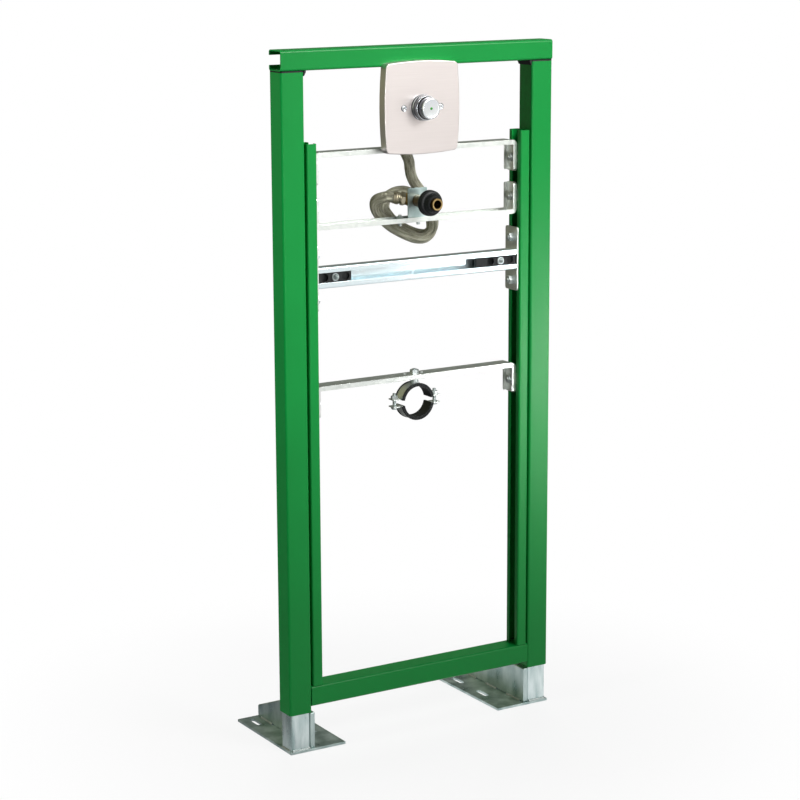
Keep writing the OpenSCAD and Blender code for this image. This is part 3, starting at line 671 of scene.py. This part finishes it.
bolts = []
for grip, heights, face in ((4, (937, 873.5, 568.5), 187), (5, (735, 806), 186)):
    bolt = joined("rail_bolt", [
        turned("washer", [(4.2, 0), (7.5, 0), (7.8, 0.3), (7.8, 1.3), (7.5, 1.6), (4.2, 1.6),
                          (4.2, 0)], zinc_bolt_painted_bright, 40),
        hexagon(13, 1.6, 8.1, zinc_bolt_painted_bright),
        turned("bolt_end", thread(4, 1.25, 7.6, 10.1, 0.5), zinc_bolt_painted_bright, 28),
        lay(turned("bolt_tail", thread(4, 1.25, -1.8, grip + 7, 0.5), zinc_bolt_painted_bright, 28), Vector(), DOWN),
        block((-9, -11, -grip - 5), (9, 11, -grip), zinc_bolt_painted_bright, 0.8)])
    for s in (-1, 1):
        bolts += [copied(bolt, spot(s * face, 20, z), (-s, 0, 0)) for z in heights]
    bpy.data.objects.remove(bolt)
settle(joined("crossbar_bolts_turned", bolts), "frame", "zinc_fasteners", "crossbar_bolts")

big = joined("bracket_bolt", [
    hexagon(13, 2.5, 9, zinc_bolt_painted_bright), lay(hexagon(13, 2, 8.5, zinc_bolt_painted_bright, True), Vector(), DOWN, 20),
    lay(turned("bolt_tail", thread(4, 1.25, -3, 9, 0.5), zinc_bolt_painted_bright, 28), Vector(), DOWN)])
small = joined("plate_screw", [
    hexagon(10, 4.5, 9.5, zinc_bolt_painted_bright), turned("screw_end", thread(3, 1, 9, 12, 0.4), zinc_bolt_painted_bright, 24),
    lay(turned("screw_tip", thread(3, 1, -5, 6, 0.4), zinc_bolt_painted_bright, 24), Vector(), DOWN)])
fixings = [copied(big, spot(-8 + 26 * s, 24, 965.5), UP, 15 * s) for s in (-1, 1)]
fixings += [copied(small, spot(x, 24, 845), UP, x) for x in (-26, 8)]
for pattern in (big, small):
    bpy.data.objects.remove(pattern)
settle(joined("bracket_bolts_turned", fixings), "frame", "zinc_fasteners", "bracket_bolts")

for side, s in (("left", -1), ("right", 1)):
    bore = [(4.55 - 0.3 * (k % 2), -21.8 + 0.625 * k) for k in range(26)]
    bush = turned(side + "_fixing_bush_turned", [
        (4.25, -22.6), (4.65, -23), (5.6, -23), (6, -22.6), (6, -5.4), (5.6, -5), (4.9, -5),
        *reversed(bore), (4.25, -22.6)], zinc_bolt_painted_bright, 48)
    settle(lay(bush, spot(155 * s, 0, 770.5), FRONTWARD), "frame", "zinc_fasteners",
           side + "_fixing_bush")


# Hose fittings: a union nut under the valve, and a nut with a crimped sleeve at the elbow

top_nut = joined("hose_top_nut_turned", [
    hexagon(23.4, 33, 48, nickel, True),
    turned("nut_skirt", [(8.9, 46), (9.7, 46), (10, 48.4), (9.7, 49), (9.9, 49.6), (9.9, 50.4),
                         (9.5, 51), (8.9, 51), (8.9, 46)], nickel, 48)])
settle(lay(top_nut, VALVE + Vector((0, 0.050, 0)), DOWN), "frame", "hose_fitting_steel",
       "hose_top_nut")

INLET = spot(0, 0, 879)
ELBOW = spot(0, 26, 879)
ARM = Matrix.Rotation(math.radians(-20), 3, "Z") @ Matrix.Rotation(math.radians(-82), 3, "Y") @ Vector(UP)
end_nut = joined("hose_end_nut_turned", [
    hexagon(19.9, 14, 21, nickel, True),
    turned("crimped_sleeve", [
        (0, 20), (8.6, 20), (8.8, 21.4), (9.1, 23), (9.7, 24), (10.3, 24.9), (10.4, 25.8),
        (10.2, 26.3), (9.9, 26.6), (10.2, 26.9), (10.4, 27.4), (10.4, 28.6), (10.0, 29.6),
        (9.6, 30.4), (9.5, 32.6), (9.3, 33.3), (8.7, 33.5), (0, 33.5)], nickel, 64)])
settle(lay(end_nut, ELBOW, ARM), "frame", "hose_fitting_steel", "hose_end_nut")


# Urinal inlet: a turned brass elbow, with a ribbed rubber collar. The solid's lock nut isn't
# in the photo, so the tube runs on plain behind the collar

tube = turned("elbow_nozzle", [
    (0, -37.5), (8.1, -37.5), (8.5, -37.1), (8.5, -35.5), (11.2, -35.5), (11.8, -34.9),
    (11.8, -15.2), (11.2, -14.5), (9.5, -14.5), (9.5, 47.3), (9.0, 48), (7.2, 48),
    (6.7, 47.4), (6.7, -26), (0, -26)], brass, 64)
# The tube's middle, behind the collar, takes the brass painted dark brown: painted shade
second_look(tube, brass_painted_dark, lambda middle, normal: -14 < middle.z < 40)
arm = turned("elbow_arm", [(0, 0), (9.2, 0), (9.2, 7.4), (9.8, 8), *thread(9.8, 1.3, 8.4, 14, 0.5)[2:]],
             brass, 48)
settle(joined("inlet_elbow_turned", [
    lay(tube, INLET, FRONTWARD), lay(arm, ELBOW, ARM)]), "frame", "brass", "inlet_elbow")
collar = turned("rubber_collar_ribbed", [
    (9.7, 20), (19.0, 20), (19.9, 20.3), (20.5, 21), (20.7, 22), (20.7, 24), (20.5, 25),
    (19.9, 25.8), (19.5, 26.3), (19.4, 26.8), (19.7, 27.3), (20.1, 27.8), (20.2, 28.5),
    (20.1, 29.4), (19.7, 30.2), (19.0, 30.9), (17.6, 31.5), (16.5, 31.8), (15.7, 32.4),
    (15.3, 33.3), (14.6, 36.8), (14.0, 40.1), (13.5, 41.3), (12.6, 42), (10.2, 42), (9.7, 41.5),
    (9.7, 20)], black_rubber, 96)
settle(lay(collar, INLET, FRONTWARD), "frame", "black_rubber", "rubber_collar")


# Waste clamp: two pressed bands with ears, lined with rubber

eased("clamp_upper_band clamp_lower_band", 0.4, galvanised, "frame", "galvanised_steel")
eased("clamp_upper_lining clamp_lower_lining", 0.7, black_rubber, "frame", "black_rubber", 3)
CLAMP = spot(0, 24, 552)
pinch = joined("clamp_screw", [
    lay(turned("pan_head", [(0, 6.8), (5.3, 7), (5.5, 7.3), (5.4, 8.6), (4.9, 9.8), (4.0, 10.6),
                            (2.6, 11), (1.6, 11), (1.2, 9.4), (0, 9.2)], zinc_bolt_painted_bright, 40),
        Vector(), DOWN),
    turned("screw_end", thread(3, 1, -7.5, 16, 0.4), zinc_bolt_painted_bright, 24), hexagon(10, 7, 12, zinc_bolt_painted_bright)])
pinches = [copied(pinch, CLAMP + Vector((0.038 * s, 0, 0)), UP, 15 + 20 * s) for s in (-1, 1)]
bpy.data.objects.remove(pinch)
settle(joined("clamp_screws_turned", pinches), "frame", "zinc_fasteners", "clamp_screws")
stud = joined("clamp_stud_turned", [
    turned("stud_boss", [(0, 28), (7, 28.6), (7, 35.9), (6.4, 36.5), (0, 36.5)], zinc_bolt_painted_bright, 48),
    hexagon(13, 36.5, 43, zinc_bolt_painted_bright, True), hexagon(13, 45, 51.5, zinc_bolt_painted_bright, True),
    turned("stud_thread", thread(4, 1.25, 35, 52.8, 0.5), zinc_bolt_painted_bright, 28)])
settle(lay(stud, CLAMP, UP, 8), "frame", "zinc_fasteners", "clamp_stud")


# The solids under the pieces have the same finishes

LOOKS = {
    powder_coat: "left_post right_post top_rail bottom_rail left_inner_rail right_inner_rail",
    black_plastic: "left_post_cap right_post_cap left_slide_insert right_slide_insert",
    zinc_plate: "left_foot_plate left_foot_gusset right_foot_plate right_foot_gusset "
                "inlet_bracket",
    zinc_tube_painted_pale: "left_foot_leg right_foot_leg",
    galvanised: "upper_crossbar lower_crossbar waste_crossbar left_end_plate right_end_plate "
                "valve_bracket clamp_upper_band clamp_lower_band",
    rail_strip_painted_pale: "fixing_rail",
    zinc_bolt_painted_bright: "crossbar_bolts left_fixing_bush right_fixing_bush bracket_bolts clamp_screws "
               "clamp_stud leg_clamp_screws",
    brushed: "cover_plate",
    chrome: "cover_screws push_button",
    chrome_painted_dark: "button_ring",
    nickel: "hose_top_nut hose_end_nut",
    brass: "valve_body inlet_elbow",
    braid: "braided_hose",
    black_rubber: "rubber_collar clamp_upper_lining clamp_lower_lining",
}
for look, names in LOOKS.items():
    for name in names.split():
        solid = frame["nodes"][name].data
        solid.materials.clear()
        solid.materials.append(look)


# Floor: pale paint that keeps the shadow, so thin that the white page shows through it, and
# a foot that is let down below it too. Reflections see the same page, with an olive screen
# on the left and a grey one low behind the object, as in a photographer's room: they give
# the zinc its darker sides and tops. From below the floor is clear, and a second sheet under
# the longest leg, which only reflections see, goes on with the page
SCREEN = (-0.8, 0.6, 0.0)
BACKDROP = (0.52, 0.83, 0.21)
FOOT_TRAVEL = 0.15

floor_paint, tree, shader, at = finish("floor_paint", Roughness=0.8)
cloud = add(tree, NOISE, Vector=at, Scale=2.0)
tone = add(tree, MIX, COLOURS, Factor=cloud, A="#F2F2F1", B="#F8F8F8")
fill(tree, shader, Base_Color=tone)
reach = add(tree, "ShaderNodeVectorMath", {"operation": "LENGTH"}, Vector=at)
fade = add(tree, RANGE, {"interpolation_type": "SMOOTHSTEP"}, Value=reach.outputs["Value"],
           From_Min=0.2, From_Max=0.8, To_Min=0.88, To_Max=1.0)
ray = add(tree, "ShaderNodeLightPath")
mirrored = add(tree, "ShaderNodeMath", {"operation": "MAXIMUM"},
               Value=[ray.outputs["Is Glossy Ray"], ray.outputs["Is Transmission Ray"]])
below = add(tree, "ShaderNodeNewGeometry").outputs["Backfacing"]
plain = add(tree, "ShaderNodeMath", {"operation": "MAXIMUM"},
            Value=[ray.outputs["Is Camera Ray"], ray.outputs["Is Shadow Ray"]])
direct = add(tree, "ShaderNodeMath", {"operation": "MAXIMUM"}, Value=[plain, below])
clear = add(tree, "ShaderNodeMath", {"operation": "MAXIMUM"}, Value=[plain, mirrored])
thin = add(tree, "ShaderNodeMath", {"operation": "MULTIPLY"}, Value=[clear, fade])
share = add(tree, "ShaderNodeMath", {"operation": "MAXIMUM"}, Value=[thin, below])
leftward = add(tree, "ShaderNodeVectorMath", {"operation": "DOT_PRODUCT"}, Vector=[at, SCREEN])
dusk = add(tree, RANGE, {"interpolation_type": "SMOOTHSTEP"}, Value=leftward.outputs["Value"],
           From_Min=-0.1, From_Max=0.4, To_Min=0.95, To_Max=0.12)
page = add(tree, "ShaderNodeEmission", Color="#FFFFFF", Strength=dusk)
beyond = add(tree, "ShaderNodeMixShader", Fac=direct,
             Shader=[page, add(tree, "ShaderNodeBsdfTransparent")])
both = add(tree, "ShaderNodeMixShader", Fac=share, Shader=[shader, beyond])
fill(tree, tree.nodes["Material Output"], Surface=both)
only()
bpy.ops.mesh.primitive_plane_add(size=14, location=(0, 0, -0.0004))
floor = fix_place("studio_floor", floor_paint)
only()
bpy.ops.mesh.primitive_plane_add(size=14, location=(0, 0, -FOOT_TRAVEL - 0.002))
page_below = fix_place("page_below", floor_paint)
page_below.visible_camera = page_below.visible_diffuse = page_below.visible_shadow = False

world = bpy.data.worlds.new("studio")
bpy.context.scene.world = world
world.use_nodes = True
tree = world.node_tree
tree.nodes.clear()
ray = add(tree, "ShaderNodeLightPath")
mirrored = add(tree, "ShaderNodeMath", {"operation": "MAXIMUM"},
               Value=[ray.outputs["Is Glossy Ray"], ray.outputs["Is Transmission Ray"]])
way = add(tree, "ShaderNodeTexCoord").outputs["Generated"]
paint = "#F3F2EC"
for aim, near, far, colour in ((BACKDROP, 0.9, 0.3, "#6A6E64"), (SCREEN, 0.75, 0.25, "#9C9C7C")):
    facing = add(tree, "ShaderNodeVectorMath", {"operation": "DOT_PRODUCT"}, Vector=[way, aim])
    screen = add(tree, RANGE, {"interpolation_type": "SMOOTHSTEP"},
                 Value=facing.outputs["Value"], From_Min=far, From_Max=near)
    paint = add(tree, MIX, COLOURS, Factor=screen, A=paint, B=colour)
room = add(tree, "ShaderNodeBackground", Color="#EEF1F4", Strength=0.08)
glints = add(tree, "ShaderNodeBackground", Color=paint, Strength=1.0)
page = add(tree, "ShaderNodeBackground", Color="#FFFFFF", Strength=1.0)
inner = add(tree, "ShaderNodeMixShader", Fac=mirrored, Shader=[room, glints])
outer = add(tree, "ShaderNodeMixShader", Fac=ray.outputs["Is Camera Ray"], Shader=[inner, page])
add(tree, "ShaderNodeOutputWorld", Surface=outer)


def lamp(name, place, aim, width, height, power, spread=180, glossy=True):
    light = bpy.data.lights.new(name, "AREA")
    light.shape, light.size, light.size_y, light.energy = "RECTANGLE", width, height, power
    light.spread = math.radians(spread)
    made = bpy.data.objects.new(name, light)
    bpy.context.scene.collection.objects.link(made)
    made.location = place
    made.rotation_mode = "QUATERNION"
    made.rotation_quaternion = (Vector(aim) - Vector(place)).to_track_quat("-Z", "Y")
    made.visible_camera = False
    made.visible_glossy = glossy


lamp("key_softbox", (0.8, -1.9, 2.05), (0, 0, 1.0), 1.2, 0.9, 6.7, 50)
lamp("middle_softbox", (-0.3, -2.1, 0.9), (0, 0, 0.72), 0.4, 0.4, 0.4, 30)
lamp("low_softbox", (1.5, -1.9, 0.25), (0.5, -0.05, 0.5), 0.35, 0.35, 0.5, 20)
lamp("side_strip", (-1.6, -0.05, 1.25), (0, -0.05, 0.85), 0.06, 1.0, 3.6, 100, glossy=False)
lamp("back_softbox", (1.4, 2.0, 1.8), (0, 0, 0.6), 1.4, 1.2, 6, 70, glossy=False)

bpy.context.scene.view_settings.view_transform = "Standard"
